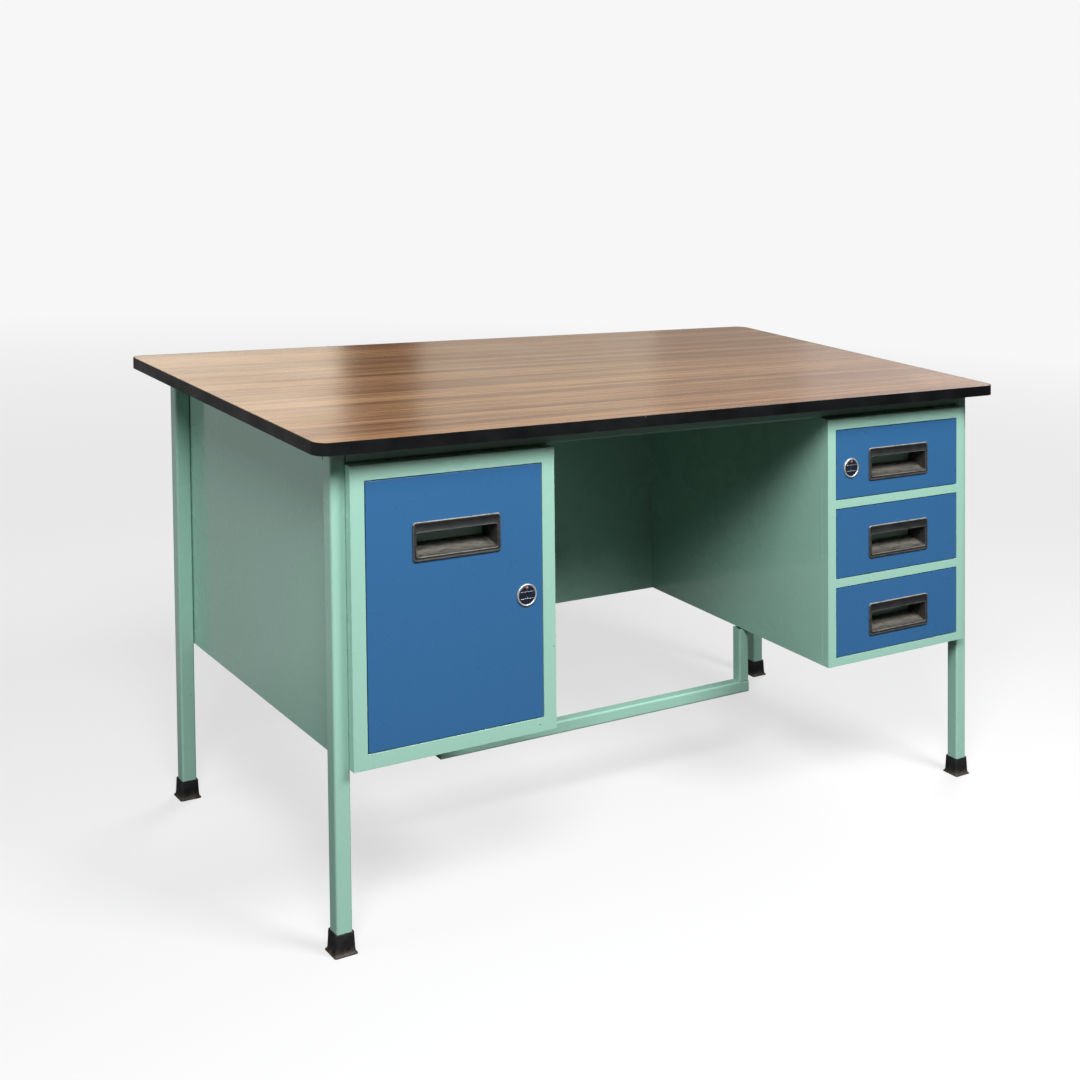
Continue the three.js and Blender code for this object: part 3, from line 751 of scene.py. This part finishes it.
def photo_camera():
    """The camera at the photograph's angle, held by an empty that shears its view."""
    data = bpy.data.cameras.new("camera")
    data.sensor_width = SENSOR
    data.lens = LENS
    camera = bpy.data.objects.new("camera", data)
    bpy.context.scene.collection.objects.link(camera)
    holder = bpy.data.objects.new("camera_holder", None)
    bpy.context.scene.collection.objects.link(holder)
    axes = Matrix((CAMERA_RIGHT, CAMERA_UP.normalized(), -CAMERA_AHEAD.normalized())).transposed()
    camera.parent = holder
    camera.matrix_parent_inverse = Matrix.Translation(CAMERA_PLACE) @ axes.to_4x4()
    bpy.context.scene.camera = camera


photo_camera()


# ---------------------------------------------------------------- floor and backdrop

WHITE = (1.0, 1.0, 1.0, 1.0)
BLACK = (0.0, 0.0, 0.0, 1.0)
BACKDROP_STRENGTH = 0.93
FILL_COLOUR = (0.97, 0.98, 1.0, 1.0)
FILL_STRENGTH = 0.035

FLOOR_HALF = 200.0
FLOOR_TONE = (0.3, 0.3, 0.3, 1.0)
FLOOR_GLOW = 0.6
FLOOR_BOUNCE = (0.06, 0.06, 0.06, 1.0)
# Distances from the desk's middle between which the floor turns into the backdrop.
FLOOR_FADE = (2.0, 6.0)
# The share of the pale floor that gloss mirrors, and the Y between which it comes in.
FLOOR_SHEEN = 0.38
SHEEN_STARTS = (0.3, 0.9)


def camera_sees(tree, seen, lighting, kind, mirrored=0.0):
    """Mixes two shaders: the first for what the camera sees, the second for the light it gives.

    The share of the first that glossy surfaces mirror is a number or a node's output.
    """
    path = tree.nodes.new("ShaderNodeLightPath")
    share = tree.nodes.new("ShaderNodeMath")
    share.operation = "MULTIPLY_ADD"
    share.use_clamp = True
    tree.links.new(path.outputs["Is Glossy Ray"], share.inputs[0])
    feed(tree, mirrored, share.inputs[1])
    tree.links.new(path.outputs["Is Camera Ray"], share.inputs[2])
    mix = tree.nodes.new("ShaderNodeMixShader")
    tree.links.new(share.outputs[0], mix.inputs["Fac"])
    tree.links.new(lighting, mix.inputs[1])
    tree.links.new(seen, mix.inputs[2])
    output = next(node for node in tree.nodes if node.type == kind)
    tree.links.new(mix.outputs[0], output.inputs["Surface"])


def floor_material():
    """Pale for the camera, fading into the backdrop, and dark for the light that it gives back."""
    s = Shader("pale_floor")
    cloud = s.noise(scale=0.8)
    length = s.tree.nodes.new("ShaderNodeVectorMath")
    length.operation = "LENGTH"
    s.feed(s.place, length.inputs[0])
    distance = length.outputs["Value"]
    near_colour = s.ramp(cloud, (0.3, FLOOR_TONE), (0.7, tint(FLOOR_TONE, 1.02)))
    material = s.finish(
        s.mix(s.range(distance, *FLOOR_FADE), near_colour, BLACK),
        roughness=0.9,
        Specular_IOR_Level=0.0,
        Emission_Color=WHITE,
        Emission_Strength=s.range(distance, *FLOOR_FADE, FLOOR_GLOW, BACKDROP_STRENGTH),
    )
    matt = s.tree.nodes.new("ShaderNodeBsdfDiffuse")
    matt.inputs["Color"].default_value = FLOOR_BOUNCE
    behind = s.range(s.part_of(s.place, "Y"), *SHEEN_STARTS, to_high=FLOOR_SHEEN)
    camera_sees(s.tree, s.surface.outputs[0], matt.outputs[0], "OUTPUT_MATERIAL", behind)
    return material


def studio_floor():
    """A wide level plane under the desk."""
    mesh = bmesh.new()
    corners = [(-1, -1), (1, -1), (1, 1), (-1, 1)]
    mesh.faces.new([mesh.verts.new((x * FLOOR_HALF, y * FLOOR_HALF, 0)) for x, y in corners])
    data = bpy.data.meshes.new("floor")
    mesh.to_mesh(data)
    mesh.free()
    data.materials.append(floor_material())
    floor = bpy.data.objects.new("floor", data)
    bpy.context.scene.collection.objects.link(floor)


def studio_world():
    """A bright backdrop for the camera, and a dim fill for everything else."""
    world = bpy.data.worlds.new("studio")
    world.use_nodes = True
    tree = world.node_tree
    fill = tree.nodes["Background"]
    fill.inputs["Color"].default_value = FILL_COLOUR
    fill.inputs["Strength"].default_value = FILL_STRENGTH
    backdrop = tree.nodes.new("ShaderNodeBackground")
    backdrop.inputs["Color"].default_value = WHITE
    backdrop.inputs["Strength"].default_value = BACKDROP_STRENGTH
    camera_sees(tree, backdrop.outputs[0], fill.outputs[0], "OUTPUT_WORLD")
    bpy.context.scene.world = world


studio_floor()
studio_world()
bpy.context.scene.view_settings.view_transform = "Standard"


# ---------------------------------------------------------------- lights

KEY_AIM_HEIGHT = 0.5
KEY_AIM = Vector((0, cad_low.y, KEY_AIM_HEIGHT))
KEY_DISTANCE = 3.5
KEY_SIZE = 1.3
PANEL_AIM = Vector((CAMERA_PLACE.x, CAMERA_PLACE.y, cad_high.z))
PANEL_DISTANCE = 8.0
PANEL_HEIGHT = 1.75
PANEL_TALL = 1.5


def softbox(name, place, aim, width, height):
    """A rectangular area light at a place, facing a point."""
    data = bpy.data.lights.new(name, "AREA")
    data.shape = "RECTANGLE"
    data.size = width
    data.size_y = height
    light = bpy.data.objects.new(name, data)
    light.location = place
    light.rotation_euler = (aim - place).to_track_quat("-Z", "Y").to_euler()
    bpy.context.scene.collection.objects.link(light)
    return light


def direction(azimuth, height):
    """The direction at an azimuth from -Y towards -X and a height above level, in degrees."""
    turn, rise = math.radians(azimuth), math.radians(height)
    level = math.cos(rise)
    return Vector((-math.sin(turn) * level, -math.cos(turn) * level, math.sin(rise)))


def key_light(name, azimuth, height, power):
    """A softbox in front of the desk, aimed at its middle."""
    place = KEY_AIM + direction(azimuth, height) * KEY_DISTANCE
    light = softbox(name, place, KEY_AIM, KEY_SIZE, KEY_SIZE)
    light.data.energy = power


def broad_light(name, azimuth, height, strength, spread):
    """A distant light whose disc is wide, so that its shadows are soft."""
    data = bpy.data.lights.new(name, "SUN")
    data.energy = strength
    data.angle = math.radians(spread)
    light = bpy.data.objects.new(name, data)
    light.rotation_euler = (-direction(azimuth, height)).to_track_quat("-Z", "Y").to_euler()
    bpy.context.scene.collection.objects.link(light)


def panel_behind(name, azimuth, spread, radiance, colour):
    """A light panel behind the desk, for the table top to mirror towards the camera.

    The azimuth is measured from +Y towards +X round the camera, and the spread is half the
    panel's width, both in degrees.
    """
    angle = math.radians(azimuth)
    away = Vector((math.sin(angle), math.cos(angle), 0)) * PANEL_DISTANCE
    place = Vector((CAMERA_PLACE.x, CAMERA_PLACE.y, PANEL_HEIGHT)) + away
    width = 2 * PANEL_DISTANCE * math.tan(math.radians(spread))
    light = softbox(name, place, PANEL_AIM, width, PANEL_TALL)
    light.data.energy = radiance * math.pi * width * PANEL_TALL
    light.data.color = colour
    light.visible_camera = False
    light.visible_diffuse = False


key_light("key_left", azimuth=38, height=45, power=110)
key_light("key_right", azimuth=-24, height=46, power=112)
broad_light("side_fill", azimuth=88, height=14, strength=0.65, spread=30)
broad_light("back_fill", azimuth=236, height=32, strength=1.4, spread=30)
panel_behind("panel_left", azimuth=10.0, spread=15.2, radiance=1.4, colour=(1.0, 0.89, 0.73))
panel_behind("panel_middle", azimuth=31.9, spread=4.1, radiance=0.62, colour=(1.0, 0.97, 0.84))
panel_behind("panel_dim", azimuth=38.5, spread=2.5, radiance=0.35, colour=(1.0, 0.97, 0.88))
panel_behind("panel_right", azimuth=53.5, spread=12.5, radiance=0.56, colour=(1.0, 0.97, 0.95))
